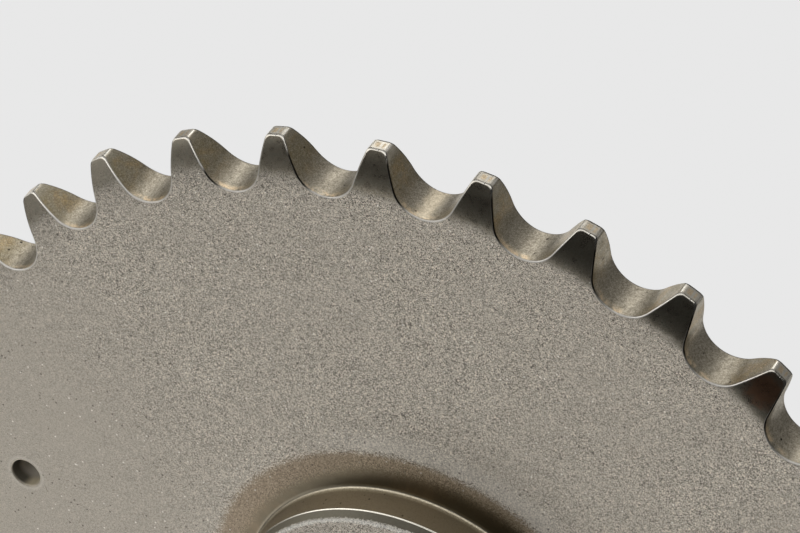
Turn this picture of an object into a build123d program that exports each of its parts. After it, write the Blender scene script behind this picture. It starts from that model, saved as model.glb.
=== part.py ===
from build123d import *
import os
from math import sin, cos, tan, acos, asin, atan2, sqrt, pi, radians, degrees, hypot

# Single-strand roller-chain sprocket: one steel piece, a toothed plate with a
# low turned hub on one side.  Millimetres.  The back face lies in z = 0, the
# axis is +Z and the hub points up.  The small hole lies on +X.

# ---- driving dimensions -------------------------------------------------
PITCH = 12.70            # chain pitch
TEETH = 34
SEAT_R = 3.92            # roller seating radius, for a 7.77 mm roller
SEAT_ANGLE = 134.0       # angle of the roller seating arc, degrees
FLANK_R = 83.0           # convex tooth flank radius
TIP_D = 143.0            # outside diameter over the teeth
TIP_CORNER_R = 0.65      # radius between each flank and the tip land

PLATE_T = 5.55           # plate thickness
RELIEF_R = 12.70         # radius of the convex side relief of the teeth
RELIEF_START_R = 64.90   # the relief leaves the plate's faces at this radius

BLEND_START_R = 28.40    # the dished blend leaves the plate at this radius
BLEND_R = 35.0           # its large radius
BLEND_END_R = 23.53      # where it meets the small corner radius
CORNER_R = 0.45          # small radius between the blend and the hub wall
HUB_TOP_R = 22.83        # hub wall radius at the lead-in chamfer
HUB_WALL_H = 4.12        # height of the top of the hub wall above the plate
HUB_FACE_R = 22.25       # outside radius of the hub's end face
HUB_H = 5.45             # height of the hub above the plate

BORE_R = 12.50           # plain bore
BORE_CHAMFER = 1.00
HOLE_R = 1.90            # small plain hole through the plate
HOLE_PITCH_R = 54.65     # its distance from the axis, in line with a tooth gap
HOLE_BREAK = 0.20        # broken edge of the small hole

EDGE_BREAK = 0.20        # radius on every edge of the tooth form
HUB_EDGE = 0.12          # radius on the hub's two outer edges

# ---- derived ------------------------------------------------------------
PITCH_R = PITCH / sin(pi / TEETH) / 2
TIP_R = TIP_D / 2
TOTAL_H = PLATE_T + HUB_H


def half_gap(r_out):
    """Points of one half of a tooth gap whose centre line is +X: the seating
    arc's middle and end, and the flank arc's middle and end at r_out."""
    a = radians(SEAT_ANGLE) / 2
    seat_end = (PITCH_R - SEAT_R * cos(a), SEAT_R * sin(a))
    seat_mid = (PITCH_R - SEAT_R * cos(a / 2), SEAT_R * sin(a / 2))
    cx = PITCH_R - (SEAT_R + FLANK_R) * cos(a)
    cy = (SEAT_R + FLANK_R) * sin(a)
    # the flank circle meets the circle r_out on the side next to the gap
    d = hypot(cx, cy)
    t = acos((d * d + FLANK_R ** 2 - r_out ** 2) / (2 * d * FLANK_R))
    base = atan2(-cy, -cx)
    ends = [(cx + FLANK_R * cos(base + s * t), cy + FLANK_R * sin(base + s * t)) for s in (1, -1)]
    end = max(ends, key=lambda q: q[0])
    a0 = atan2(seat_end[1] - cy, seat_end[0] - cx)
    a1 = atan2(end[1] - cy, end[0] - cx)
    da = (a1 - a0 + pi) % (2 * pi) - pi
    mid = (cx + FLANK_R * cos(a0 + da / 2), cy + FLANK_R * sin(a0 + da / 2))
    return seat_mid, seat_end, mid, end


def gap_face(r_out):
    """The closed outline of one tooth gap, open side at the radius r_out."""
    seat_mid, seat_end, mid, end = half_gap(r_out)
    m = lambda q: (q[0], -q[1])
    root = (PITCH_R - SEAT_R, 0)
    edges = [
        ThreePointArc(m(end), m(mid), m(seat_end)),
        ThreePointArc(m(seat_end), root, seat_end),
        ThreePointArc(seat_end, mid, end),
        Line(end, m(end)),
    ]
    return make_face(Wire(edges))


# ---- section of the blank, in the X-Z plane -----------------------------
relief = RELIEF_R - sqrt(RELIEF_R ** 2 - (TIP_R - RELIEF_START_R) ** 2)
ra = asin((TIP_R - RELIEF_START_R) / RELIEF_R) / 2
relief_mid_r = RELIEF_START_R + RELIEF_R * sin(ra)
relief_mid_z = RELIEF_R * (1 - cos(ra))

blend_a = asin((BLEND_START_R - BLEND_END_R) / BLEND_R)
blend_mid = (BLEND_START_R - BLEND_R * sin(blend_a / 2), PLATE_T + BLEND_R * (1 - cos(blend_a / 2)))
blend_end = (BLEND_END_R, PLATE_T + BLEND_R * (1 - cos(blend_a)))
corner_c = (blend_end[0] + CORNER_R * sin(blend_a), blend_end[1] + CORNER_R * cos(blend_a))


def corner(t):
    return (corner_c[0] - CORNER_R * sin(t), corner_c[1] - CORNER_R * cos(t))


# the hub wall runs from its top edge down to where it is tangent to the corner arc
wall_top = (HUB_TOP_R, PLATE_T + HUB_WALL_H)
dx, dz = corner_c[0] - wall_top[0], corner_c[1] - wall_top[1]
dist = hypot(dx, dz)
touch = acos(CORNER_R / dist)
base = atan2(wall_top[1] - corner_c[1], wall_top[0] - corner_c[0])
cands = [(corner_c[0] + CORNER_R * cos(base + s * touch), corner_c[1] + CORNER_R * sin(base + s * touch)) for s in (1, -1)]
wall_foot = min(cands, key=lambda q: q[0])
foot_t = atan2(corner_c[0] - wall_foot[0], corner_c[1] - wall_foot[1])
draft = degrees(atan2(wall_foot[0] - wall_top[0], wall_top[1] - wall_foot[1]))
corner_mid = corner((blend_a + foot_t) / 2)

B = BORE_CHAMFER
P = lambda q: (q[0], 0, q[1])
section_edges = [
    Line(P((BORE_R + B, 0)), P((RELIEF_START_R, 0))),
    ThreePointArc(P((RELIEF_START_R, 0)), P((relief_mid_r, relief_mid_z)), P((TIP_R, relief))),
    Line(P((TIP_R, relief)), P((TIP_R, PLATE_T - relief))),
    ThreePointArc(P((TIP_R, PLATE_T - relief)), P((relief_mid_r, PLATE_T - relief_mid_z)), P((RELIEF_START_R, PLATE_T))),
    Line(P((RELIEF_START_R, PLATE_T)), P((BLEND_START_R, PLATE_T))),
    ThreePointArc(P((BLEND_START_R, PLATE_T)), P(blend_mid), P(blend_end)),
    ThreePointArc(P(blend_end), P(corner_mid), P(wall_foot)),
    Line(P(wall_foot), P(wall_top)),
    Line(P(wall_top), P((HUB_FACE_R, TOTAL_H))),
    Line(P((HUB_FACE_R, TOTAL_H)), P((BORE_R + B, TOTAL_H))),
    Line(P((BORE_R + B, TOTAL_H)), P((BORE_R, TOTAL_H - B))),
    Line(P((BORE_R, TOTAL_H - B)), P((BORE_R, B))),
    Line(P((BORE_R, B)), P((BORE_R + B, 0))),
]
section = make_face(Wire(section_edges))
blank = revolve(section, axis=Axis.Z, revolution_arc=360)

# ---- tooth gaps ---------------------------------------------------------
gap = extrude(gap_face(TIP_R + 0.6), amount=PLATE_T + 2)
gap = Pos(0, 0, -1) * gap
gaps = [Rot(0, 0, k * 360.0 / TEETH) * gap for k in range(TEETH)]
sprocket = blank - gaps

# ---- rounded edges of the tooth form ------------------------------------
def form_edges(shape, upright):
    """The edges of the tooth form.  upright picks the ones that run straight
    across the plate at the tips; otherwise the outline on both faces.  The
    lines where one surface runs smoothly into the next are left out."""
    chosen = []
    for e in shape.edges():
        a, m, b = e.position_at(0), e.position_at(0.5), e.position_at(1)
        r0, rm, r1 = hypot(a.X, a.Y), hypot(m.X, m.Y), hypot(b.X, b.Y)
        if rm < RELIEF_START_R - 2:
            continue
        if hypot(a.X - b.X, a.Y - b.Y) < 1e-6:
            if upright and rm > TIP_R - 0.05:
                chosen.append(e)
            continue
        if max(abs(r0 - RELIEF_START_R), abs(rm - RELIEF_START_R), abs(r1 - RELIEF_START_R)) < 1e-3:
            continue
        if not upright:
            chosen.append(e)
    return chosen


sprocket = fillet(form_edges(sprocket, True), TIP_CORNER_R)
sprocket = fillet(form_edges(sprocket, False), EDGE_BREAK)

# the hub's two outer edges: the top of its wall and the rim of its end face
hub_edges = [
    e for e in sprocket.edges().filter_by(GeomType.CIRCLE)
    if HUB_FACE_R - 0.01 < e.radius < HUB_TOP_R + 0.01 and e.center().Z > PLATE_T + HUB_WALL_H - 0.01
]
sprocket = fillet(hub_edges, HUB_EDGE)

# ---- small hole in line with a gap, with broken edges -------------------
hole = Pos(HOLE_PITCH_R, 0, PLATE_T / 2) * Cylinder(HOLE_R, PLATE_T + 2)
top_break = Pos(HOLE_PITCH_R, 0, PLATE_T) * Cone(HOLE_R, HOLE_R + 2 * HOLE_BREAK, 2 * HOLE_BREAK)
low_break = Pos(HOLE_PITCH_R, 0, 0) * Cone(HOLE_R + 2 * HOLE_BREAK, HOLE_R, 2 * HOLE_BREAK)
sprocket = sprocket - hole - top_break - low_break

if __name__ == "__main__":
    os.makedirs("parts", exist_ok=True)
    print("pitch diameter", round(2 * PITCH_R, 3), "root diameter", round(2 * (PITCH_R - SEAT_R), 3))
    print("tip land", round(PLATE_T - 2 * relief, 3), "hub wall draft", round(draft, 2), "deg", "foot", wall_foot)
    print("solids", len(sprocket.solids()), "volume", round(sprocket.volume, 1), "valid", sprocket.is_valid)
    export_step(sprocket, "parts/sprocket.step")
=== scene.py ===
import math
import bpy
import numpy as np
from mathutils import Matrix, Vector


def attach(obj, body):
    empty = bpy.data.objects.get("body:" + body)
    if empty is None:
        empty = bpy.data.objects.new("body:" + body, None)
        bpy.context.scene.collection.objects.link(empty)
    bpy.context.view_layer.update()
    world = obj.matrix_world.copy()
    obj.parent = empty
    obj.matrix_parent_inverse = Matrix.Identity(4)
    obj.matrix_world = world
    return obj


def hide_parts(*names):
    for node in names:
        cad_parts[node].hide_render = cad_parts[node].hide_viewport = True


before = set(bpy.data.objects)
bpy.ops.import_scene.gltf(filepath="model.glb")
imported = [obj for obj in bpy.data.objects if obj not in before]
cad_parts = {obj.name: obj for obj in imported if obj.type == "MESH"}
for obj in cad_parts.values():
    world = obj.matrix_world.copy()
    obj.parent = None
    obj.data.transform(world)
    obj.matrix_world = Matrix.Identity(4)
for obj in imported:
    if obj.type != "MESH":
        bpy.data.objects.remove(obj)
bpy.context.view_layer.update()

MM = 0.001

# ------------------------------------------------------------------ form (mm)
TEETH = 34
PITCH = 12.70
PITCH_R = PITCH / math.sin(math.pi / TEETH) / 2
SEAT_R, SEAT_ANGLE, FLANK_R = 3.92, 134.0, 83.0
TIP_R, TIP_CORNER_R = 71.495, 0.65
PLATE_T = 5.55
RELIEF_R, RELIEF_START_R = 12.70, 64.90
BLEND_START_R, BLEND_R, BLEND_END_R, CORNER_R = 28.40, 35.0, 23.53, 0.45
HUB_TOP_R, HUB_WALL_H, HUB_FACE_R, HUB_H = 22.83, 4.12, 22.25, 5.45
BORE_R, BORE_CHAMFER = 12.50, 1.00
HOLE_R, HOLE_PITCH_R, HOLE_BREAK = 1.90, 54.65, 0.26
HUB_EDGE = 0.12
TOTAL_H = PLATE_T + HUB_H


# ------------------------------------------------------------------ tooth form
def half_profile(n_seat, n_flank, n_corner, n_land, inset=0.0, tip_inset=0.0, corner=TIP_CORNER_R):
    """From the root of a gap centred on +X to the middle of the next tooth:
    points and outward normals (out of the steel).  The insets move the outline
    into the steel, along the gap and along the tip."""
    a = math.radians(SEAT_ANGLE) / 2
    t = np.linspace(0, a, n_seat + 1)
    seat, flank, tip = SEAT_R + inset, FLANK_R - inset, TIP_R - tip_inset
    pts = [np.c_[PITCH_R - seat * np.cos(t), seat * np.sin(t)]]
    nrm = [np.c_[np.cos(t), -np.sin(t)]]
    cx, cy = PITCH_R - (SEAT_R + FLANK_R) * math.cos(a), (SEAT_R + FLANK_R) * math.sin(a)
    a0 = math.atan2(SEAT_R * math.sin(a) - cy, PITCH_R - SEAT_R * math.cos(a) - cx)
    d = math.hypot(cx, cy)
    inner, outer = flank - corner, tip - corner
    th = math.atan2(cy, cx)
    be = math.acos((outer ** 2 + d * d - inner ** 2) / (2 * outer * d))
    c = min([(outer * math.cos(th + s * be), outer * math.sin(th + s * be)) for s in (1, -1)],
            key=lambda q: abs(math.atan2(q[1], q[0])))
    a1 = math.atan2(c[1] - cy, c[0] - cx)
    da = (a1 - a0 + math.pi) % (2 * math.pi) - math.pi
    ph = a0 + np.linspace(0, da, n_flank + 1)[1:]
    pts.append(np.c_[cx + flank * np.cos(ph), cy + flank * np.sin(ph)])
    nrm.append(np.c_[np.cos(ph), np.sin(ph)])
    a2 = math.atan2(c[1], c[0])
    db = (a2 - a1 + math.pi) % (2 * math.pi) - math.pi
    ps = a1 + np.linspace(0, db, n_corner + 1)[1:]
    pts.append(np.c_[c[0] + corner * np.cos(ps), c[1] + corner * np.sin(ps)])
    nrm.append(np.c_[np.cos(ps), np.sin(ps)])
    pl = np.linspace(a2, math.pi / TEETH, n_land + 1)[1:]
    pts.append(tip * np.c_[np.cos(pl), np.sin(pl)])
    nrm.append(np.c_[np.cos(pl), np.sin(pl)])
    return np.vstack(pts), np.vstack(nrm)


def relief(r):
    d = np.clip(r - RELIEF_START_R, 0, RELIEF_R * 0.99)
    return RELIEF_R - np.sqrt(RELIEF_R ** 2 - d * d)


def relief_slope(r):
    d = np.clip(r - RELIEF_START_R, 0, RELIEF_R * 0.99)
    return d / np.sqrt(RELIEF_R ** 2 - d * d)


class Build:
    """Collects points, normals, per-point values and faces of one closed mesh."""

    def __init__(self):
        self.co, self.no, self.val, self.faces = [], [], [], []
        self.n = 0

    def ring(self, co, no, **val):
        co = np.asarray(co, float)
        no = np.broadcast_to(np.asarray(no, float), co.shape)
        row = np.zeros((len(co), len(FIELDS)))
        for k, v in val.items():
            row[:, FIELDS.index(k)] = v
        self.co.append(co)
        self.no.append(no)
        self.val.append(row)
        ids = np.arange(self.n, self.n + len(co))
        self.n += len(co)
        return ids

    def quads(self, a, b):
        """Faces between two rings of equal length.  Seen with the outside
        towards the viewer, b lies to the left of a's direction of travel."""
        a2, b2 = np.roll(a, -1), np.roll(b, -1)
        self.faces += np.c_[a, a2, b2, b].tolist()

    def zipper(self, a, b, ta, tb):
        """Triangles between two rings of different lengths, by their angles."""
        na, nb = len(a), len(b)
        i = j = 0
        while i < na or j < nb:
            next_a = ta[i + 1] if i + 1 < na else ta[0] + 2 * math.pi
            next_b = tb[j + 1] if j + 1 < nb else tb[0] + 2 * math.pi
            if j >= nb or (i < na and next_a <= next_b):
                self.faces.append([int(a[i % na]), int(a[(i + 1) % na]), int(b[j % nb])])
                i += 1
            else:
                self.faces.append([int(a[i % na]), int(b[(j + 1) % nb]), int(b[j % nb])])
                j += 1


FIELDS = ["edge", "wall", "land", "tip", "along", "across", "form"]

N_SEAT, N_FLANK, N_CORNER, N_LAND = 12, 6, 6, 2
N_FACE, N_FIL = 7, 4
INSET, TIP_INSET, FACE_CORNER_R = 0.23, 0.16, 0.85     # how far the rounded edges reach into the tooth faces
# root, top of the seat, top of the flank, middle and end of the tip corner, middle of the tip
DEPTH = [0.25, 0.25, 0.28, 0.33, 0.31, 0.30]          # and down the walls, mm
TIP_WEAR_AND_SHEEN = [0.0, 0.0, 0.0, 1.0, 0.0, 0.0]                 # the tip corner's bright line, worn and painted as a highlight
WALL_ROWS = [(0.10, 0.03), (0.28, 0.0), (0.60, 0.0), (0.90, -0.06)]   # place down the wall, lean of the normal
COARSE = 16                       # columns a pitch on the flat faces
INNER_R = 63.9


def tooth_ring():
    """The whole outline once round: points, normals, angles of the inner ring,
    how far along the outline (0 root, 1 tip), and where the land is."""
    p, n = half_profile(N_SEAT, N_FLANK, N_CORNER, N_LAND)
    q, _ = half_profile(N_SEAT, N_FLANK, N_CORNER, N_LAND, INSET, TIP_INSET, FACE_CORNER_R)
    m = len(p) - 1
    seg = np.r_[0, np.cumsum(np.hypot(*np.diff(p, axis=0).T))]
    along = seg / seg[-1]
    pol = np.arctan2(p[:, 1], p[:, 0])
    uni = np.arange(m + 1) / m * math.pi / TEETH
    inner = 0.6 * uni + 0.4 * pol
    inner[0], inner[-1] = 0, math.pi / TEETH
    r = np.hypot(p[:, 0], p[:, 1])
    land = np.clip((r - (TIP_R - 0.25)) / 0.2, 0, 1)
    marks = [0, N_SEAT, N_SEAT + N_FLANK, N_SEAT + N_FLANK + N_CORNER / 2, N_SEAT + N_FLANK + N_CORNER, m]
    size, tip_wear_and_sheen = np.interp(np.arange(m + 1), marks, DEPTH), np.interp(np.arange(m + 1), marks, TIP_WEAR_AND_SHEEN)
    # one whole pitch, from mid tooth to mid tooth, without its last point
    P = np.vstack([np.c_[p[::-1, 0], -p[::-1, 1]], p[1:]])[:-1]
    Q = np.vstack([np.c_[q[::-1, 0], -q[::-1, 1]], q[1:]])[:-1]
    Nn = np.vstack([np.c_[n[::-1, 0], -n[::-1, 1]], n[1:]])[:-1]
    A = np.r_[-inner[::-1], inner[1:]][:-1]
    S = np.r_[-along[::-1], along[1:]][:-1]
    L = [np.r_[v[::-1], v[1:]][:-1] for v in (land, size, tip_wear_and_sheen)]
    co, face, no, an = [], [], [], []
    for k in range(TEETH):
        g = 2 * math.pi * k / TEETH
        c, s = math.cos(g), math.sin(g)
        rot = np.array([[c, s], [-s, c]])
        co.append(P @ rot)
        face.append(Q @ rot)
        no.append(Nn @ rot)
        an.append(A + g)
    return (np.vstack(co), np.vstack(face), np.vstack(no), np.concatenate(an), np.tile(S, TEETH),
            *(np.tile(v, TEETH) for v in L))


def slerp(a, b, t):
    w = np.arccos(np.clip((a * b).sum(1), -1, 1))[:, None]
    return (np.sin((1 - t) * w) * a + np.sin(t * w) * b) / np.sin(w)


def circle(r, z, angles, nr=0.0, nz=1.0):
    c, s = np.cos(angles), np.sin(angles)
    ln = math.hypot(nr, nz)
    return (np.c_[r * c, r * s, np.full(len(angles), z)],
            np.c_[nr * c, nr * s, np.full(len(angles), nz)] / ln)


def make_sprocket():
    B = Build()
    P, Q, Nn, inner_a, along, land, depth, tip_wear_and_sheen = tooth_ring()
    rad = np.hypot(P[:, 0], P[:, 1])
    rad_q = np.hypot(Q[:, 0], Q[:, 1])
    ang = inner_a
    side_rings = {}
    for side in (1, -1):                       # front, then back
        z_of = (lambda r: PLATE_T - relief(r)) if side > 0 else (lambda r: relief(r))
        g = relief_slope(rad_q)
        face_n = np.c_[(g / rad_q)[:, None] * Q, np.full(len(P), float(side))]
        face_n /= np.linalg.norm(face_n, axis=1)[:, None]
        wall_n = np.c_[Nn, np.zeros(len(P))]
        edge_p = np.c_[P, z_of(rad)]             # the sharp edge, and where its rounding starts and ends
        face_p = np.c_[Q, z_of(rad_q)]
        wall_p = np.c_[P, z_of(rad) - side * depth]
        arc = []
        for k in range(N_FIL + 1):
            t = k / N_FIL
            v = slerp(face_n, wall_n, t)
            c = (1 - t) ** 2 * face_p + 2 * t * (1 - t) * edge_p + t * t * wall_p
            c[:, 2] = np.clip(c[:, 2], 0, PLATE_T)
            arc.append((c, v, math.sin(math.pi * k / N_FIL)))
        contact = arc[0][0]
        rows = []
        base = np.c_[INNER_R * np.cos(ang), INNER_R * np.sin(ang)]
        for k in range(N_FACE):
            t = k / N_FACE
            xy = base * (1 - t) + contact[:, :2] * t
            r = np.hypot(xy[:, 0], xy[:, 1])
            gg = relief_slope(r)[:, None]
            nn = np.c_[gg * xy / r[:, None], np.full(len(xy), float(side))]
            nn /= np.linalg.norm(nn, axis=1)[:, None]
            rows.append(B.ring(np.c_[xy, z_of(r)], nn, along=along, across=0.0 if side > 0 else 1.0, form=1))
        for k, (c, v, e) in enumerate(arc):
            rows.append(B.ring(c, v, edge=e, wall=k / N_FIL, land=land * (k / N_FIL), tip=tip_wear_and_sheen * (k / N_FIL),
                               along=along, across=0.0 if side > 0 else 1.0, form=1))
        side_rings[side] = rows
    # wall between the two lowest arc rows
    f_id, b_id = side_rings[1][-1], side_rings[-1][-1]
    allco = np.vstack(B.co)
    f_co, b_co = allco[f_id], allco[b_id]
    wall_rows = [f_id]
    for t, tilt in WALL_ROWS:
        nn = np.c_[Nn, np.full(len(Nn), tilt)]
        wall_rows.append(B.ring(f_co * (1 - t) + b_co * t, nn / np.linalg.norm(nn, axis=1)[:, None], wall=1,
                                land=land, tip=tip_wear_and_sheen, along=along, across=t, form=1))
    wall_rows.append(b_id)
    front, back = side_rings[1], side_rings[-1]
    for a, b in zip(front[:-1], front[1:]):
        B.quads(b, a)
    for a, b in zip(wall_rows[:-1], wall_rows[1:]):
        B.quads(b, a)
    for a, b in zip(back[:-1], back[1:]):
        B.quads(a, b)

    # flat faces, coarser
    nc = TEETH * COARSE
    ca = np.arange(nc) * 2 * math.pi / nc
    fine_a = np.sort(ang)
    half = 6                                   # columns each side of the hole's patch
    patch_r = np.linspace(58.5, 50.8, 7)
    order = np.argsort(ang)
    loops = {}
    for side in (1, -1):
        z0 = PLATE_T if side > 0 else 0.0
        fine = side_rings[side][0][order]
        rings, radii = [], [62.4, 60.4] + list(patch_r)
        radii += [46.0, 41.0, 36.5, 32.5, 30.2, 29.0] if side > 0 else [45.0, 38.0, 31.0, 24.0, 18.0]
        for r in radii:
            co, no = circle(r, z0, ca, 0, side)
            rings.append(B.ring(co, no, across=0.0 if side > 0 else 1.0))
        if side > 0:
            B.zipper(rings[0], fine, ca, fine_a)
        else:
            n0 = len(B.faces)
            B.zipper(rings[0], fine, ca, fine_a)
            B.faces[n0:] = [f[::-1] for f in B.faces[n0:]]
        first = radii.index(patch_r[0])
        for k, (a, b) in enumerate(zip(rings[:-1], rings[1:])):
            n0 = len(B.faces)
            B.quads(b, a) if side > 0 else B.quads(a, b)
            if first <= k < first + len(patch_r) - 1:
                # leave the patch round the small hole open
                block = B.faces[n0:]
                keep = [f for c, f in enumerate(block) if not (c < half or c >= nc - half)]
                B.faces[n0:] = keep
        # the patch: its outline once round, anticlockwise seen from the front
        rows = [rings[first + k] for k in range(len(patch_r))]
        cols = [(c % nc) for c in range(-half, half + 1)]
        loop = [rows[-1][c] for c in cols[::-1]][::-1]                      # inner edge, angle rising
        loop += [rows[k][cols[-1]] for k in range(len(rows) - 2, -1, -1)]     # outwards at the far side
        loop += [rows[0][c] for c in cols[::-1][1:]]                         # outer edge, angle falling
        loop += [rows[k][cols[0]] for k in range(1, len(rows) - 1)]
        loops[side] = (np.array(loop), rings)
    allco = np.vstack(B.co)

    # small hole: rings from the patch outline to the broken edge, then the wall
    hole_ids = {}
    for side in (1, -1):
        z0 = PLATE_T if side > 0 else 0.0
        loop, rings = loops[side]
        q = allco[loop][:, :2] - np.array([HOLE_PITCH_R, 0])
        th = np.arctan2(q[:, 1], q[:, 0])
        m = len(loop)
        # even angles that start where the outline starts
        th_even = th[0] + np.unwrap(th - th[0]) * 0 + np.arange(m) * 2 * math.pi / m * (1 if np.unwrap(th)[-1] > th[0] else -1)
        target = 0.5 * th_even + 0.5 * np.unwrap(th)
        prev = loop
        r_rim = HOLE_R + HOLE_BREAK
        for t in (0.35, 0.7, 0.9):
            rr = r_rim + 0.12
            goal = np.c_[rr * np.cos(target), rr * np.sin(target)]
            xy = q * (1 - t) + goal * t
            ids = B.ring(np.c_[xy + np.array([HOLE_PITCH_R, 0]), np.full(m, z0)], (0, 0, side),
                         across=0.0 if side > 0 else 1.0)
            B.quads(prev, ids) if side > 0 else B.quads(ids, prev)
            prev = ids
        for k in range(5):
            w = k / 4 * math.pi / 2
            rr = HOLE_R + HOLE_BREAK * (1 - math.sin(w))
            zz = z0 - side * HOLE_BREAK * (1 - math.cos(w))
            c, s = np.cos(target), np.sin(target)
            ids = B.ring(np.c_[HOLE_PITCH_R + rr * c, rr * s, np.full(m, zz)],
                         np.c_[-math.sin(w) * c, -math.sin(w) * s, np.full(m, side * math.cos(w))],
                         edge=0.0, wall=k / 4, across=0.0 if side > 0 else 1.0)
            B.quads(prev, ids) if side > 0 else B.quads(ids, prev)
            prev = ids
        hole_ids[side] = prev
    B.quads(hole_ids[1], hole_ids[-1])

    # hub and bore: one section turned round the axis
    sec = []                                   # (r, z, normal r, normal z, edge, wall)
    blend_a = math.asin((BLEND_START_R - BLEND_END_R) / BLEND_R)
    for k in range(9):
        w = blend_a * k / 8
        sec.append((BLEND_START_R - BLEND_R * math.sin(w), PLATE_T + BLEND_R * (1 - math.cos(w)),
                    math.sin(w), math.cos(w), 0, 0.0))
    cc = (BLEND_END_R + CORNER_R * math.sin(blend_a), sec[-1][1] + CORNER_R * math.cos(blend_a))
    top = (HUB_TOP_R, PLATE_T + HUB_WALL_H)
    dist = math.hypot(cc[0] - top[0], cc[1] - top[1])
    base = math.atan2(top[1] - cc[1], top[0] - cc[0])
    touch = math.acos(CORNER_R / dist)
    foot = min([(cc[0] + CORNER_R * math.cos(base + s * touch), cc[1] + CORNER_R * math.sin(base + s * touch))
                for s in (1, -1)], key=lambda q: q[0])
    foot_t = math.atan2(cc[0] - foot[0], cc[1] - foot[1])
    for k in range(1, 7):
        w = blend_a + (foot_t - blend_a) * k / 6
        sec.append((cc[0] - CORNER_R * math.sin(w), cc[1] - CORNER_R * math.cos(w), math.sin(w), math.cos(w), 0, k / 6))

    def rounded(p0, p1, p2, rad, n, wall0, wall1, edge):
        """Points of a rounded convex corner p1 between p0 and p2."""
        v0 = np.array(p0) - np.array(p1)
        v1 = np.array(p2) - np.array(p1)
        v0, v1 = v0 / np.linalg.norm(v0), v1 / np.linalg.norm(v1)
        turn = math.pi - math.acos(np.clip(v0 @ v1, -1, 1))
        tl = rad * math.tan(turn / 2)
        n0 = np.array([-v0[1], v0[0]])
        n0 = n0 if n0 @ v1 < 0 else -n0
        n1 = np.array([-v1[1], v1[0]])
        n1 = n1 if n1 @ v0 < 0 else -n1
        c = np.array(p1) + v0 * tl - n0 * rad
        out = []
        for k in range(n + 1):
            t = k / n
            w = math.acos(np.clip(n0 @ n1, -1, 1))
            nn = (math.sin((1 - t) * w) * n0 + math.sin(t * w) * n1) / math.sin(w)
            p = c + rad * nn
            out.append((p[0], p[1], nn[0], nn[1], edge * math.sin(math.pi * t), wall0 + (wall1 - wall0) * t))
        return out

    rim = (HUB_FACE_R, TOTAL_H)
    wall_up = rounded(foot, top, rim, 0.80, 6, 1, 1, 1.0)
    lift = (0, 0.30, 0.80, 0.95, 0.80, 0.30, 0)  # the crown of this edge, its normals tilted up to catch a highlight
    wall_up = [(p[0], p[1], *(np.array([p[2], p[3] + q]) / math.hypot(p[2], p[3] + q)), *p[4:])
               for p, q in zip(wall_up, lift)]
    for t in (1 / 3, 2 / 3):
        sec.append((foot[0] + (wall_up[0][0] - foot[0]) * t, foot[1] + (wall_up[0][1] - foot[1]) * t,
                    wall_up[0][2], wall_up[0][3], 0, 1))
    sec += wall_up
    rim_pts = rounded(top, rim, (0, TOTAL_H), HUB_EDGE, 4, 1, 0, 0.8)
    sec.append(((wall_up[-1][0] + rim_pts[0][0]) / 2, (wall_up[-1][1] + rim_pts[0][1]) / 2, rim_pts[0][2], rim_pts[0][3], 0, 1))
    sec += rim_pts
    cr = BORE_R + BORE_CHAMFER
    lip = rounded(rim, (cr, TOTAL_H), (BORE_R, TOTAL_H - BORE_CHAMFER), 0.08, 2, 0, 1, 0.8)
    for t in (1 / 3, 2 / 3):
        sec.append((rim_pts[-1][0] + (lip[0][0] - rim_pts[-1][0]) * t, TOTAL_H, 0, 1, 0, 0))
    sec += lip
    sec += rounded((cr, TOTAL_H), (BORE_R, TOTAL_H - BORE_CHAMFER), (BORE_R, 0), 0.08, 2, 1, 1, 0.5)
    for t in (0.25, 0.5, 0.75):
        sec.append((BORE_R, TOTAL_H - BORE_CHAMFER - (TOTAL_H - 2 * BORE_CHAMFER) * t, -1, 0, 0, 1))
    sec += rounded((BORE_R, TOTAL_H), (BORE_R, BORE_CHAMFER), (cr, 0), 0.08, 2, 1, 1, 0.5)
    sec += rounded((BORE_R, BORE_CHAMFER), (cr, 0), (30, 0), 0.08, 2, 1, 0, 0.8)
    prev = loops[1][1][-1]
    for (r, z, nr, nz, e, w) in sec:
        co, no = circle(r, z, ca, nr, nz)
        ids = B.ring(co, no, edge=e, wall=w, across=0.0)
        B.quads(ids, prev)
        prev = ids
    B.quads(loops[-1][1][-1], prev)

    co = np.vstack(B.co)
    no = np.vstack(B.no)
    val = np.vstack(B.val)
    used = np.unique(np.concatenate([np.array(f) for f in B.faces]))
    remap = -np.ones(len(co), int)
    remap[used] = np.arange(len(used))
    faces = [[int(remap[i]) for i in f] for f in B.faces]
    co, no, val = co[used], no[used], val[used]
    for i, f in enumerate(faces):                # wind every face outwards
        p, q, s = co[f[0]], co[f[1]], co[f[2]]
        w = np.cross(q - p, s - p)
        if len(f) == 4:
            w = w + np.cross(s - p, co[f[3]] - p)
        if w @ no[f].mean(0) < 0:
            faces[i] = f[::-1]
    me = bpy.data.meshes.new("sprocket_body")
    me.from_pydata((co * MM).tolist(), [], faces)
    me.validate()
    for k, name in enumerate(FIELDS):
        at = me.attributes.new("s_" + name, "FLOAT", "POINT")
        at.data.foreach_set("value", val[:, k].astype(np.float32))
    for p in me.polygons:
        p.use_smooth = True
    me.normals_split_custom_set_from_vertices(no.tolist())
    ob = bpy.data.objects.new("sprocket_body", me)
    bpy.context.scene.collection.objects.link(ob)
    return ob


body = make_sprocket()
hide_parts("sprocket")
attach(body, "root")


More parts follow.
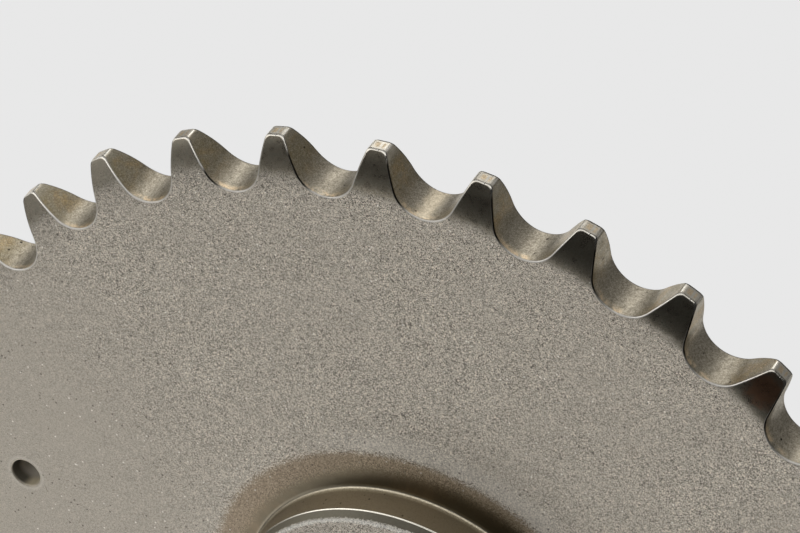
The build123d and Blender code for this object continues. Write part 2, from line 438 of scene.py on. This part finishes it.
# ------------------------------------------------------------------ materials
class Nodes:
    """Short hand for building a node tree."""

    def __init__(self, name):
        self.mat = bpy.data.materials.new(name)
        self.mat.use_nodes = True
        self.t = self.mat.node_tree
        self.t.nodes.clear()

    def node(self, kind, **kw):
        n = self.t.nodes.new(kind)
        for k, v in kw.items():
            setattr(n, k, v)
        return n

    def put(self, sock, v):
        if v is None:
            return
        if isinstance(v, bpy.types.NodeSocket):
            self.t.links.new(v, sock)
        elif isinstance(v, (tuple, list)) and len(v) == 3 and sock.type == "RGBA":
            sock.default_value = (*v, 1)
        else:
            sock.default_value = v

    def m(self, op, a, b=None, c=None, clamp=False):
        n = self.node("ShaderNodeMath", operation=op, use_clamp=clamp)
        for i, v in enumerate((a, b, c)):
            if v is not None:
                self.put(n.inputs[i], v)
        return n.outputs[0]

    def step(self, x, lo, hi, a=0.0, b=1.0):
        n = self.node("ShaderNodeMapRange", interpolation_type="SMOOTHSTEP")
        for k, v in zip(("Value", "From Min", "From Max", "To Min", "To Max"), (x, lo, hi, a, b)):
            self.put(n.inputs[k], v)
        return n.outputs[0]

    def lin(self, x, lo, hi, a=0.0, b=1.0, clamp=True):
        n = self.node("ShaderNodeMapRange", clamp=clamp)
        for k, v in zip(("Value", "From Min", "From Max", "To Min", "To Max"), (x, lo, hi, a, b)):
            self.put(n.inputs[k], v)
        return n.outputs[0]

    def noise(self, vec, scale, detail=3.0, rough=0.55, dist=0.0, out=0):
        n = self.node("ShaderNodeTexNoise")
        self.put(n.inputs["Vector"], vec)
        n.inputs["Scale"].default_value = scale
        n.inputs["Detail"].default_value = detail
        n.inputs["Roughness"].default_value = rough
        n.inputs["Distortion"].default_value = dist
        return n.outputs[out]

    def cells(self, vec, scale, feature="F1", rand=1.0, out=0):
        n = self.node("ShaderNodeTexVoronoi", feature=feature)
        self.put(n.inputs["Vector"], vec)
        n.inputs["Scale"].default_value = scale
        n.inputs["Randomness"].default_value = rand
        return n.outputs[out]

    def vec(self, x, y, z):
        n = self.node("ShaderNodeCombineXYZ")
        for i, v in enumerate((x, y, z)):
            self.put(n.inputs[i], v)
        return n.outputs[0]

    def parts(self, vec):
        n = self.node("ShaderNodeSeparateXYZ")
        self.put(n.inputs[0], vec)
        return n.outputs

    def parts_rgb(self, colour):
        n = self.node("ShaderNodeSeparateColor")
        self.put(n.inputs[0], colour)
        return n.outputs

    def attr(self, name):
        return self.node("ShaderNodeAttribute", attribute_name=name).outputs["Fac"]

    def mix(self, f, a, b):
        n = self.node("ShaderNodeMix", data_type="RGBA", clamp_factor=True)
        self.put(n.inputs[0], f)
        self.put(n.inputs[6], a)
        self.put(n.inputs[7], b)
        return n.outputs[2]

    def mixf(self, f, a, b):
        n = self.node("ShaderNodeMix", data_type="FLOAT", clamp_factor=True)
        self.put(n.inputs[0], f)
        self.put(n.inputs[2], a)
        self.put(n.inputs[3], b)
        return n.outputs[0]


# brown stains on the plate and rust on a tooth face: place (mm), radius (mm), strength
STAINS = [(-22.8, -43.1, 1.2, 0.80), (-1.2, -35.5, 0.8, 0.50), (-21.8, -54.7, 0.9, 0.40), (-16.5, -52.0, 0.6, 0.50),
          (3.8, -46.3, 1.1, 0.30), (18.6, -54.7, 1.0, 0.40), (14.9, -51.9, 0.9, 0.30), (-27.3, -58.1, 0.6, 0.70),
          (-21.8, -49.4, 1.4, 0.25), (-16.6, -61.5, 2.3, 0.30), (-17.1, -58.9, 2.6, 0.22), (-19.6, -62.0, 1.8, 0.35),
          (-34.4, -51.6, 4.5, 0.22), (-26.5, -56.6, 3.5, 0.18), (2.0, -61.1, 5.0, 0.15), (6.5, -41.7, 0.6, 0.40)]
# painted highlights, pale spots in the gaps and on a tip: place (mm), radius (mm), strength, colour
PAINTED_HIGHLIGHTS = [(13.1, -70.3, 2.0, 0.70, (0.97, 0.90, 0.76)), (6.2, -64.9, 1.3, 0.35, (0.90, 0.76, 0.54))]
# fine brown scratches on the plate: both ends (mm), half width (mm), strength
LINES = [(-16.6, -61.0, -18.8, -61.1, 0.10, 0.6), (-18.8, -61.1, -20.6, -61.6, 0.10, 0.6), (-12.1, -63.3, -13.6, -63.4, 0.08, 0.5),
         (-13.6, -63.4, -15.2, -63.8, 0.08, 0.5)]
RUST = [(-36.6, -58.9, 2.4, 0.75)]


def steel():
    N = Nodes("sprocket_steel")
    pos = N.node("ShaderNodeTexCoord").outputs["Object"]
    sc = N.node("ShaderNodeVectorMath", operation="SCALE")
    N.put(sc.inputs[0], pos)
    sc.inputs["Scale"].default_value = 1000.0
    mm = sc.outputs[0]                                          # position in mm
    x, y, z = N.parts(mm)
    r = N.m("SQRT", N.m("ADD", N.m("MULTIPLY", x, x), N.m("MULTIPLY", y, y)))
    th = N.m("ARCTAN2", y, x)
    edge, wall, land, tip, along, across, form = (N.attr("s_" + k) for k in FIELDS)
    flat = N.m("SUBTRACT", 1.0, wall, clamp=True)
    side = N.m("ABSOLUTE", along)                               # 0 at a root, 1 at a tip

    def mul(*v):
        out = v[0]
        for k in v[1:]:
            out = N.m("MULTIPLY", out, k)
        return out

    def add(a, b):
        return N.m("ADD", a, b)

    def union(a, b):
        return N.m("ADD", a, b, clamp=True)

    def far(px, py):
        dx, dy = N.m("SUBTRACT", x, px), N.m("SUBTRACT", y, py)
        return N.m("SQRT", add(mul(dx, dx), mul(dy, dy)))

    def near(px, py, radius):
        """1 within this distance (mm) of a point of the face, fading out."""
        return N.step(add(far(px, py), mul(wander, radius)), radius * 0.45, radius * 1.15, 1.0, 0.0)

    # ---- patterns
    fine = N.parts_rgb(N.cells(mm, 11.5, out=1))                # blasted grain, about a tenth of a mm
    coarse = N.parts_rgb(N.cells(mm, 5.5, out=1))
    mot1 = N.noise(mm, 0.20, 5, 0.62)
    mot2 = N.noise(mm, 0.9, 4, 0.6)
    mot3 = N.noise(mm, 3.2, 3, 0.6)
    mot4 = N.noise(mm, 7.0, 2, 0.65)
    wander = N.m("SUBTRACT", N.noise(mm, 1.1, 3, 0.6), 0.5)
    blotch = N.step(N.noise(mm, 0.13, 5, 0.62, 0.4), 0.50, 0.70)
    contrast = N.lin(N.noise(mm, 0.075, 2, 0.5), 0.36, 0.64, 0.72, 1.12)
    contrast = mul(contrast, N.step(far(58.0, 2.0), 14.0, 44.0, 0.30, 1.0))  # rubbed smoother round the small hole
    grain = add(mul(fine[0], 0.82), mul(coarse[0], 0.18))
    raw = grain
    grain = N.m("ADD", mul(N.m("SUBTRACT", grain, 0.5), contrast, 1.25), 0.5, clamp=True)
    cut = N.noise(N.vec(mul(x, 2.6), mul(y, 2.6), mul(z, 0.6)), 1.0, 4, 0.62)
    stain = N.step(N.noise(N.vec(mul(x, 0.42), mul(y, 0.42), mul(z, 0.30)), 1.0, 5, 0.62, 0.5), 0.44, 0.64)
    turned = N.noise(N.vec(mul(r, 7.0), mul(th, 2.0), 0.0), 1.0, 2, 0.6)
    pick = N.parts_rgb(N.cells(mm, 0.62, out=1))
    pits = mul(N.step(add(N.cells(mm, 0.62), mul(wander, 0.08)), 0.07, 0.11, 1.0, 0.0), N.step(pick[1], 0.70, 0.74))
    sp_d = N.cells(mm, 2.2)
    sp_c = N.parts_rgb(N.cells(mm, 2.2, out=1))
    specks = mul(N.step(sp_d, 0.20, 0.36, 1.0, 0.0), N.step(sp_c[0], 0.93, 0.95))
    glints = mul(N.step(sp_d, 0.18, 0.34, 1.0, 0.0), N.step(sp_c[1], 0.955, 0.97))

    def scratches(angle, seed):
        c, sn = math.cos(math.radians(angle)), math.sin(math.radians(angle))
        u = add(mul(x, c), mul(y, sn))
        v = add(mul(x, -sn), mul(y, c))
        line = N.noise(N.vec(mul(u, 0.45), mul(v, 3.6), seed), 1.0, 1, 0.5)
        where = N.noise(N.vec(mul(x, 0.16), mul(y, 0.16), seed + 5.0), 1.0, 2, 0.5)
        return mul(N.step(line, 0.72, 0.76), N.step(where, 0.52, 0.60))

    marks = union(scratches(35.0, 3.0), scratches(-62.0, 11.0))

    # ---- zones: blasted faces with uneven borders, turned and milled steel elsewhere
    wob = mul(N.m("SUBTRACT", N.noise(mm, 0.8, 4, 0.65), 0.5), 1.8)
    rw = add(r, wob)
    # the blasting reached further up the teeth on one side
    bearing = N.m("DIVIDE", add(mul(x, 0.866), mul(y, -0.5)), r)
    reach = N.lin(bearing, 0.70, 0.92, 0.35, -1.8)
    rg = add(add(rw, reach), mul(N.m("SUBTRACT", raw, 0.5), 1.3))
    outer = N.step(rg, 66.4, 67.1, 1.0, 0.0)
    fade = N.step(rg, 66.5, 68.5, 1.0, 0.0)                     # grain that thins out up the teeth
    bl_r = add(r, add(mul(wob, 0.45), mul(N.m("SUBTRACT", raw, 0.5), 1.2)))
    inner = N.m("MAXIMUM", N.step(add(bl_r, N.lin(bearing, 0.80, 0.97, 0.0, 1.2)), 25.8, 27.6), N.step(across, 0.4, 0.6))
    plate = mul(outer, inner, flat)
    ragged = add(z, mul(N.m("SUBTRACT", add(mul(raw, 0.6), mul(mot3, 0.6)), 0.6), 0.42))
    hub_end = mul(N.step(ragged, 10.70, 10.80), N.step(r, 13.52, 13.56), N.step(r, 22.50, 22.54, 1.0, 0.0))
    blasted = union(plate, hub_end)
    milled = mul(wall, form)                                    # tooth gaps and tips
    hub_side = mul(wall, N.step(r, 21.8, 22.2), N.step(r, 24.0, 24.4, 1.0, 0.0))
    # where the painted highlight line in the hub's foot corner goes
    corner = mul(N.step(r, 23.02, 23.08), N.step(r, 23.24, 23.36, 1.0, 0.0), N.step(z, 5.6, 5.8), N.step(z, 6.3, 6.7, 1.0, 0.0))
    chamfer = mul(wall, N.step(z, 9.72, 9.78), N.step(r, 22.1, 22.3))
    blend = mul(N.step(r, 23.2, 23.8), N.step(bl_r, 27.0, 29.0, 1.0, 0.0), N.step(z, 5.0, 5.5))
    tooth = mul(flat, form, N.step(rg, 66.3, 67.2))             # the smooth part of the tooth faces
    halo_wear_and_highlight = mul(N.step(rg, 65.2, 66.0), flat, N.step(rg, 66.4, 67.4, 1.0, 0.0))

    # ---- blasted plate
    pc = N.mix(N.lin(mot1, 0.35, 0.65), (0.36, 0.316, 0.255), (0.43, 0.380, 0.308))
    pc = N.mix(mul(blotch, 0.5), pc, (0.35, 0.285, 0.21))
    # a pale band where the grain ends on the teeth: partly wear, partly a painted highlight
    pc = N.mix(mul(halo_wear_and_highlight, 0.30), pc, (0.56, 0.50, 0.43))
    for px, py, radius, depth in STAINS:
        pc = N.mix(mul(near(px, py, radius), depth), pc, (0.19, 0.115, 0.065))
    for ax, ay, bx, by, width, depth in LINES:
        ln = (bx - ax) ** 2 + (by - ay) ** 2
        t = N.m("DIVIDE", add(mul(N.m("SUBTRACT", x, ax), bx - ax), mul(N.m("SUBTRACT", y, ay), by - ay)), ln, clamp=True)
        d = N.node("ShaderNodeVectorMath", operation="DISTANCE")
        N.put(d.inputs[0], N.vec(x, y, 0.0))
        N.put(d.inputs[1], N.vec(add(mul(t, bx - ax), ax), add(mul(t, by - ay), ay), 0.0))
        pc = N.mix(mul(N.step(d.outputs["Value"], width * 0.5, width * 1.8, 1.0, 0.0), N.step(z, 5.0, 5.4), depth), pc, (0.16, 0.10, 0.06))
    pc = N.mix(grain, N.mix(0.83, pc, (0.030, 0.024, 0.018)), N.mix(0.83, pc, (0.98, 0.90, 0.77)))
    # a brown ring round the hub with a crisp outer border, painted lighter on the side the hub shades, and a paler band
    # outside it: painted light, strongest on that side, that offsets the hub's shadow
    ring_r = mul(N.step(bl_r, 27.7, 28.6, 1.0, 0.0), N.step(z, 5.0, 5.5), N.step(r, 23.0, 23.6))
    # painted light: the ring's colour is lighter on the side the hub shades
    pc = N.mix(mul(ring_r, 0.95), pc, N.mix(grain, (0.19, 0.147, 0.098), N.mix(N.lin(bearing, 0.70, 0.97), (0.70, 0.57, 0.41), (0.57, 0.46, 0.335))))
    # painted light: a pale band that offsets the hub's shadow, strongest on that side
    painted_light_band = mul(N.step(bl_r, 28.0, 28.6), N.lin(r, 28.4, 32.4, 0.86, 0.0), N.lin(bearing, 0.72, 0.92, 1.0, 0.10), flat, N.step(z, 5.0, 5.5))
    pc = N.mix(painted_light_band, pc, N.mix(grain, (0.50, 0.455, 0.39), (0.98, 0.93, 0.83)))
    pc = N.mix(mul(specks, 0.75), pc, (0.07, 0.055, 0.045))
    pc = N.mix(mul(glints, 0.75), pc, (0.98, 0.95, 0.88))
    pc = N.mix(mul(marks, 0.7), pc, (0.12, 0.095, 0.07))

    # ---- turned and milled steel
    mc = N.mix(N.lin(mot2, 0.3, 0.7), (0.38, 0.335, 0.255), (0.47, 0.415, 0.32))
    mc = N.mix(N.lin(mot3, 0.3, 0.7, 0.0, 0.5), mc, (0.27, 0.235, 0.175))
    mc = N.mix(N.lin(mot4, 0.4, 0.75, 0.0, 0.35), mc, (0.62, 0.56, 0.45))
    # tooth faces: the grain thins out up the tooth, with dull greenish patches
    tc = N.mix(mul(N.step(mot2, 0.50, 0.62), 0.40), mc, (0.21, 0.21, 0.165))
    amount = add(mul(fade, 0.60), 0.12)
    tc = N.mix(mul(N.lin(raw, 0.62, 0.95), amount), tc, (0.80, 0.76, 0.66))
    tc = N.mix(mul(N.lin(raw, 0.05, 0.38, 1.0, 0.0), amount), tc, (0.06, 0.056, 0.045))
    # painted shade and light: the tooth faces are darker on one side of the sprocket and lighter on the other
    tc = N.mix(N.step(bearing, 0.35, 0.75, 0.34, 0.0), tc, (0.055, 0.057, 0.050))
    tc = N.mix(N.step(bearing, 0.70, 0.95, 0.0, 0.22), tc, (0.62, 0.57, 0.48))
    for px, py, radius, depth in RUST:
        tc = N.mix(mul(near(px, py, radius), depth), tc, (0.40, 0.20, 0.11))
    mc = N.mix(tooth, mc, tc)
    # tooth gaps
    gc = N.mix(N.lin(cut, 0.38, 0.64, 0.0, 0.30), mc, (0.23, 0.20, 0.145))
    gc = N.mix(0.25, gc, (0.62, 0.56, 0.45))
    gc = N.mix(N.lin(mot3, 0.46, 0.64, 0.0, 0.34), gc, (0.20, 0.175, 0.125))
    olive = mul(N.step(side, 0.22, 0.60), N.lin(mot2, 0.35, 0.60, 0.35, 0.75))
    gc = N.mix(olive, gc, N.mix(N.lin(mot4, 0.35, 0.65), (0.29, 0.235, 0.130), (0.50, 0.42, 0.255)))
    gold = mul(stain, N.step(side, 0.20, 0.60))
    gc = N.mix(mul(gold, N.lin(raw, 0.1, 0.8, 0.35, 0.85)), gc, N.mix(N.lin(mot3, 0.35, 0.65), (0.30, 0.205, 0.095), (0.66, 0.48, 0.235)))
    first = N.step(along, -0.02, 0.02)                          # the side of each gap with the painted dark line
    # painted highlight: a warm glow along the front edge of the gap walls near the root
    lip = mul(N.step(add(across, mul(wander, 0.12)), 0.02, 0.20, 1.0, 0.0), N.step(along, -0.20, -0.05),
              N.step(along, 0.20, 0.45, 1.0, 0.0), N.lin(mot2, 0.40, 0.56))
    gc = N.mix(mul(lip, 0.9), gc, (0.98, 0.78, 0.52))
    # lighter gap walls near the tips: polished by wear, and a painted highlight
    upper = mul(N.step(side, 0.70, 0.92), N.m("SUBTRACT", 1.0, land, clamp=True))
    gc = N.mix(mul(upper, N.lin(mot3, 0.3, 0.7, 0.15, 0.65)), gc, (0.72, 0.68, 0.58))
    gc = N.mix(mul(N.lin(raw, 0.05, 0.42, 1.0, 0.0), 0.45), gc, (0.09, 0.075, 0.05))
    gc = N.mix(mul(N.lin(raw, 0.60, 0.95), 0.38), gc, (0.88, 0.80, 0.65))
    gc = N.mix(mul(pits, 0.9), gc, (0.06, 0.05, 0.04))
    # painted highlights in the gaps
    for px, py, radius, depth, colour in PAINTED_HIGHLIGHTS:
        gc = N.mix(mul(near(px, py, radius), depth), gc, colour)
    # tips: a bright rim round a tan, dirtier middle
    middle = mul(land, N.step(add(side, mul(wander, 0.04)), 0.925, 0.955),
                 N.step(add(across, mul(wander, 0.12)), 0.10, 0.20), N.step(across, 0.78, 0.92, 1.0, 0.0))
    gc = N.mix(mul(land, 0.65), gc, (0.72, 0.69, 0.62))
    # the first painted highlight again, on the tip land
    for px, py, radius, depth, colour in PAINTED_HIGHLIGHTS[:1]:
        gc = N.mix(mul(land, near(px, py, radius), depth), gc, colour)
    gc = N.mix(mul(middle, N.lin(mot3, 0.3, 0.6, 0.55, 0.9)), gc, N.mix(N.lin(mot4, 0.35, 0.65), (0.50, 0.39, 0.24), (0.80, 0.64, 0.43)))
    mc = N.mix(milled, mc, gc)
    # hub
    bl = N.mix(N.step(r, 24.0, 27.2), (0.113, 0.094, 0.062), N.mix(N.lin(mot2, 0.3, 0.7), (0.158, 0.116, 0.066), (0.208, 0.155, 0.092)))
    bl = N.mix(mul(blotch, 0.5), bl, (0.235, 0.165, 0.100))
    soft = mul(N.step(r, 24.2, 27.0), 0.55)
    bl = N.mix(grain, N.mix(soft, bl, (0.03, 0.024, 0.016)), N.mix(soft, bl, (0.50, 0.43, 0.32)))
    mc = N.mix(mul(blend, 0.92), mc, bl)
    # painted light and shade: the hub wall is lighter on one side of the sprocket and darker on the other
    mc = N.mix(mul(hub_side, 0.85), mc, N.mix(N.lin(add(mul(bearing, 0.9), mul(mot3, 0.4)), 0.6, 1.25), (0.32, 0.270, 0.188), (0.51, 0.437, 0.318)))
    mc = N.mix(mul(hub_side, N.lin(raw, 0.0, 0.35, 0.4, 0.0)), mc, (0.14, 0.12, 0.09))
    mc = N.mix(mul(hub_side, specks, 0.8), mc, (0.07, 0.06, 0.045))
    # painted light and shade: the hub's chamfer is lighter on one side of the sprocket and darker on the other
    mc = N.mix(mul(chamfer, 0.9), mc, N.mix(N.lin(add(bearing, mul(mot3, 0.3)), 0.55, 1.10), (0.125, 0.117, 0.094), (0.29, 0.274, 0.222)))
    # painted highlight: a bright line in the concave corner at the foot of the hub
    mc = N.mix(mul(corner, 0.8), mc, N.mix(raw, (0.46, 0.40, 0.29), (0.88, 0.80, 0.62)))

    from_hole = far(HOLE_PITCH_R, 0.0)
    drilled = mul(N.step(from_hole, 1.93, 2.00, 1.0, 0.0), N.step(r, 50.0, 51.0))
    # painted light and shade inside the small hole: a tan glint on the side towards the axis, dark on the far side,
    # lighter deeper down
    hole_light_and_shade = N.mix(N.step(x, 54.0, 55.2), (0.66, 0.57, 0.40), (0.10, 0.090, 0.066))
    hole_light_and_shade = N.mix(N.step(z, 3.3, 4.5), (0.60, 0.54, 0.45), hole_light_and_shade)
    # painted shade: the half of the hole wall on the -y side is dark
    mc = N.mix(mul(drilled, 0.85), mc, N.mix(N.step(y, 0.1, 0.9), (0.09, 0.082, 0.064), hole_light_and_shade))
    mc = N.mix(mul(N.step(from_hole, 1.93, 2.00), N.step(from_hole, 2.3, 2.4, 1.0, 0.0)), mc, (0.72, 0.63, 0.46))
    # painted highlight: a pale ring on the face round the small hole
    pc = N.mix(mul(N.step(from_hole, 2.2, 2.3), N.step(from_hole, 2.35, 2.75, 1.0, 0.0), 0.55), pc, (0.62, 0.58, 0.51))
    base = N.mix(blasted, mc, pc)
    # painted highlight: a bright ragged line along the rim of the hub's end face
    fringe = mul(hub_end, N.step(add(r, mul(wander, 0.8)), 21.75, 22.05))
    base = N.mix(mul(fringe, N.lin(raw, 0.2, 0.6, 0.3, 1.0), 0.8), base, (0.95, 0.93, 0.86))
    # edges: painted highlights, partly burnished wear, white along the top of the teeth and on the rounded edges; a
    # painted dark line of shade on one side of each gap, a soft grey painted highlight rim on the other
    # painted highlight along the tip corners, partly wear
    line = N.step(tip, 0.66, 1.0)
    # how far down the flank the painted edge highlight reaches: further on the side the light falls on
    start = N.m("SUBTRACT", N.step(bearing, 0.78, 0.83, 0.80, 0.58), add(N.step(bearing, 0.88, 0.93, 0.0, 0.34), N.step(bearing, 0.66, 0.72, 0.0, 0.08)))
    lit = N.step(N.m("SUBTRACT", side, start), -0.05, 0.05)
    # painted shade: a dark line on the rounded edge of one side of each gap
    painted_edge_shade = mul(N.step(edge, 0.40, 0.72), first, N.m("SUBTRACT", 1.0, lit, clamp=True), N.step(side, 0.16, 0.34), form,
               N.step(bearing, 0.88, 0.93, 1.0, 0.3))
    edge_highlight_and_wear = mul(edge, N.mixf(first, N.step(side, 0.05, 0.20, 0.25, 0.85), N.mixf(lit, 0.20, 1.0)))
    top = mul(N.step(side, 0.88, 0.95), N.step(wall, 0.45, 0.80))   # the bevel's painted highlight line keeps to the face side
    edge_highlight_and_wear = mul(edge_highlight_and_wear, N.m("SUBTRACT", 1.0, mul(top, 0.85), clamp=True), N.step(across, 0.4, 0.6, 1.0, 0.3))
    edge_highlight_and_wear = N.mixf(form, edge, edge_highlight_and_wear)
    # painted highlight: a soft grey rim on the rounded edges of the gap walls, mostly at the front, on the side without
    # the dark line
    rim = mul(form, N.step(wall, 0.02, 0.20), N.step(wall, 0.55, 0.85, 1.0, 0.0), N.step(side, 0.55, 0.80, 1.0, 0.0),
              N.m("SUBTRACT", 1.0, painted_edge_shade, clamp=True), N.step(across, 0.4, 0.6, 1.0, 0.4))
    base = N.mix(mul(rim, 0.75), base, (0.86, 0.83, 0.77))
    # painted highlights on the edges, partly burnished wear
    burnish_and_highlight = N.m("MAXIMUM", mul(edge_highlight_and_wear, N.lin(mot3, 0.32, 0.5, 0.6, 1.0)), mul(line, N.lin(mot3, 0.32, 0.55, 0.55, 0.95)))
    base = N.mix(mul(burnish_and_highlight, 0.85), base, (0.82, 0.79, 0.73))
    base = N.mix(mul(painted_edge_shade, 0.94), base, (0.020, 0.017, 0.013))
    # painted highlight along the rounded crown at the top of the hub wall
    crown = mul(edge, N.step(z, 9.40, 9.50), N.step(z, 9.85, 9.95, 1.0, 0.0), N.step(r, 22.0, 22.3))
    base = N.mix(crown, base, (0.96, 0.92, 0.80))
    base = N.mix(mul(hub_end, 0.09), base, (0.02, 0.017, 0.012))

    rough = N.lin(add(mot2, mul(mot3, 0.5)), 0.45, 1.05, 0.28, 0.42)
    rough = add(rough, mul(milled, 0.06))
    rough = add(rough, mul(hub_side, 0.14))
    rough = N.m("SUBTRACT", rough, mul(chamfer, 0.08))
    rough = N.m("SUBTRACT", rough, mul(tooth, 0.05))
    rough = add(rough, mul(milled, N.m("SUBTRACT", cut, 0.5), 0.12))
    rough = add(rough, mul(milled, N.m("SUBTRACT", mot3, 0.5), 0.20))
    rough = N.mixf(blasted, rough, 0.56)
    rough = N.mixf(mul(burnish_and_highlight, 0.9), rough, 0.17)
    rough = N.mixf(painted_edge_shade, rough, 0.55)
    rough = N.mixf(drilled, rough, 0.60)
    rough = N.mixf(mul(rim, 0.8), rough, 0.42)

    # ---- relief of the surface, in mm
    h = mul(plate, grain, 0.016)
    h = add(h, mul(hub_end, raw, 0.020))
    h = add(h, mul(N.m("SUBTRACT", 1.0, blasted, clamp=True), flat, turned, 0.0014))
    h = add(h, mul(tooth, raw, N.m("ADD", mul(fade, 0.006), 0.0010)))
    h = add(h, mul(milled, mot3, 0.0050))
    h = add(h, mul(milled, raw, 0.0030))
    h = add(h, mul(milled, cut, 0.0035))
    h = add(h, mul(blend, raw, 0.004))
    h = N.m("SUBTRACT", h, mul(pits, milled, 0.02))
    h = N.m("SUBTRACT", h, mul(marks, plate, 0.012))
    bump = N.node("ShaderNodeBump")
    bump.inputs["Strength"].default_value = 1.0
    bump.inputs["Distance"].default_value = 0.001
    N.put(bump.inputs["Height"], h)

    bs = N.node("ShaderNodeBsdfPrincipled")
    out = N.node("ShaderNodeOutputMaterial")
    N.t.links.new(bs.outputs[0], out.inputs[0])
    N.put(bs.inputs["Metallic"], N.m("SUBTRACT", 1.0, add(mul(blasted, 0.2), mul(drilled, 0.7))))
    N.put(bs.inputs["Base Color"], base)
    N.put(bs.inputs["Roughness"], rough)
    N.put(bs.inputs["Normal"], bump.outputs[0])
    return N.mat


def paper():
    N = Nodes("floor")
    em = N.node("ShaderNodeEmission")
    out = N.node("ShaderNodeOutputMaterial")
    em.inputs["Color"].default_value = (0.806, 0.806, 0.806, 1)
    em.inputs["Strength"].default_value = 1.0
    N.t.links.new(em.outputs[0], out.inputs[0])
    return N.mat


body.data.materials.append(steel())

# ------------------------------------------------------------------ stage
me = bpy.data.meshes.new("floor")
S = 6.0
me.from_pydata([(-S, -S, -2e-5), (S, -S, -2e-5), (S, S, -2e-5), (-S, S, -2e-5)], [], [(0, 1, 2, 3)])
floor = bpy.data.objects.new("floor", me)
bpy.context.scene.collection.objects.link(floor)
floor.data.materials.append(paper())
floor.visible_glossy = False
floor.visible_diffuse = False
floor.visible_shadow = False

# ------------------------------------------------------------------ camera
right = Vector((-0.8889108860, -0.0816620857, -0.4507424326))
up = Vector((0.3557049235, -0.7430598548, -0.5668651158))
back = Vector((-0.2886372189, -0.6642238748, 0.6895615999))
cam_data = bpy.data.cameras.new("camera")
cam_data.sensor_fit = "HORIZONTAL"
cam_data.sensor_width = 36.0
cam_data.lens = 4935.417 * 36.0 / 800.0
cam_data.clip_start = 0.02
cam_data.clip_end = 20.0
cam = bpy.data.objects.new("camera", cam_data)
bpy.context.scene.collection.objects.link(cam)
rot = Matrix((right, up, back)).transposed().to_4x4()
cam.matrix_world = Matrix.Translation(Vector((-0.15282822, -0.42663063, 0.38970825))) @ rot
bpy.context.scene.camera = cam


# ------------------------------------------------------------------ light
def softbox(name, az, el, radius, radiance, colour=(1, 1, 1), distance=1.6, aspect=1.0):
    """A square light seen from the sprocket at this bearing and height (degrees)."""
    a, e = math.radians(az), math.radians(el)
    d = Vector((math.cos(a) * math.cos(e), math.sin(a) * math.cos(e), math.sin(e)))
    li = bpy.data.lights.new(name, "AREA")
    li.shape = "ELLIPSE"
    li.size = 2 * distance * math.tan(math.radians(radius))
    li.size_y = li.size * aspect
    li.energy = radiance * math.pi * li.size * li.size_y * math.pi / 4
    li.color = colour
    ob = bpy.data.objects.new(name, li)
    ob.location = d * distance
    ob.rotation_euler = d.to_track_quat("Z", "Y").to_euler()
    bpy.context.scene.collection.objects.link(ob)
    ob.visible_camera = False
    return ob


# above: what the faces and the edges reflect
softbox("key", 64, 31, 22, 1.18)
softbox("key right", 95, 25, 18, 1.66)
softbox("key high", 62, 45, 16, 0.42)
softbox("fill", 30, 44, 12, 0.33)
softbox("side", 8, 30, 14, 0.35)
softbox("side low", 8, -20, 16, 0.78)
softbox("key low", 42, -4, 17, 0.27)
softbox("front", -64, 33, 62, 1.20, aspect=0.18)
softbox("front left", -20, 30, 16, 0.55)
softbox("front side", -14, 2, 28, 0.60, aspect=0.50)
softbox("front low", -77, -7, 42, 0.34, aspect=0.32)
# round about and below: what the tooth gaps and tips reflect
for name, az, radius, radiance in (("a", -48, 13, 1.12), ("b", -25, 12, 0.55), ("c", 0, 16, 0.05), ("d", 30, 16, 0.97),
                                   ("e", -68, 12, 1.34), ("f", -88, 12, 0.60), ("g", -110, 14, 0.32),
                                   ("h", -135, 14, 0.27), ("i", -165, 16, 0.18), ("j", 165, 14, 0.20),
                                   ("k", 140, 14, 0.17), ("l", 115, 16, 0.75)):
    softbox("low " + name, az, -43, radius, radiance)

world = bpy.data.worlds.new("studio")
bpy.context.scene.world = world
world.use_nodes = True
bg = world.node_tree.nodes["Background"]
bg.inputs[0].default_value = (1, 1, 1, 1)
bg.inputs[1].default_value = 0.028

bpy.context.scene.view_settings.view_transform = "Standard"
